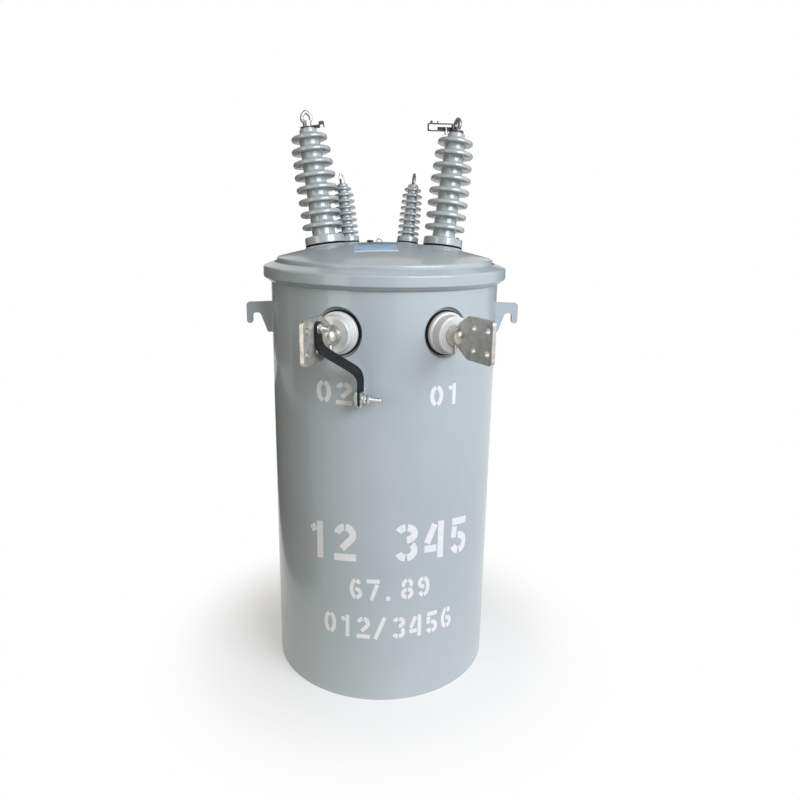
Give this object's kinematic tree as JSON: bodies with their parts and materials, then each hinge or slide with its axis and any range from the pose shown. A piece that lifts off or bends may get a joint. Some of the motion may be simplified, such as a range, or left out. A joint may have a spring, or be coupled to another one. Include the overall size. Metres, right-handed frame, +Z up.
{
  "type": "pole mounted transformer",
  "caption": "Upright cylindrical steel tank with a clamped domed cover, ribbed porcelain bushings, spade terminals, lifting lugs and pole brackets.",
  "frame": {"origin": "centre of the tank's underside", "axes": "+Z up along the tank, low voltage terminals toward -Y, pole brackets toward +Y"},
  "size_m": [0.527, 0.5805, 1.089],
  "materials": {
    "tank_paint": "light grey gloss paint",
    "grey_porcelain": "grey glaze",
    "white_porcelain": "off white glaze",
    "rubber": "black, matte",
    "tinned_metal": "tin plated bronze, satin",
    "bolt_steel": "zinc plated",
    "aged_metal": "dark aged plating, satin",
    "strap_sleeve": "black coated flat strap",
    "plug_plastic": "black"
  },
  "bodies": {
    "root": {"band_bolt": "bolt_steel", "cover": "tank_paint", "cover_band": "tank_paint", "cover_eye": "bolt_steel", "cover_gasket": "rubber", "cover_plug": "plug_plastic", "ground_bolt": "bolt_steel", "ground_lug": "tinned_metal", "ground_tab": "tank_paint", "hv_arm": "aged_metal", "hv_arm_bolt": "bolt_steel", "hv_arm_stud": "bolt_steel", "hv_bushing_left": "grey_porcelain", "hv_bushing_right": "grey_porcelain", "hv_cap_left": "tinned_metal", "hv_cap_right": "tinned_metal", "hv_clip": "aged_metal", "hv_eye_left": "tinned_metal", "hv_eye_right": "tinned_metal", "hv_gasket_left": "rubber", "hv_gasket_right": "rubber", "lifting_lug_left": "tank_paint", "lifting_lug_right": "tank_paint", "lv_bushing_left": "white_porcelain", "lv_bushing_right": "white_porcelain", "lv_collar_left": "tinned_metal", "lv_collar_right": "tinned_metal", "lv_gasket_left": "rubber", "lv_gasket_right": "rubber", "lv_pad_left": "tinned_metal", "lv_pad_right": "tinned_metal", "neutral_strap": "strap_sleeve", "pole_bracket_lower": "tank_paint", "pole_bracket_upper": "tank_paint", "rear_bushing_left": "grey_porcelain", "rear_bushing_right": "grey_porcelain", "rear_cap_left": "tinned_metal", "rear_cap_right": "tinned_metal", "rear_eye_left": "tinned_metal", "rear_eye_right": "tinned_metal", "rear_gasket_left": "rubber", "rear_gasket_right": "rubber", "strap_bolt": "bolt_steel", "tank_bottom": "tank_paint", "tank_shell": "tank_paint"}
  },
  "joints": []
}
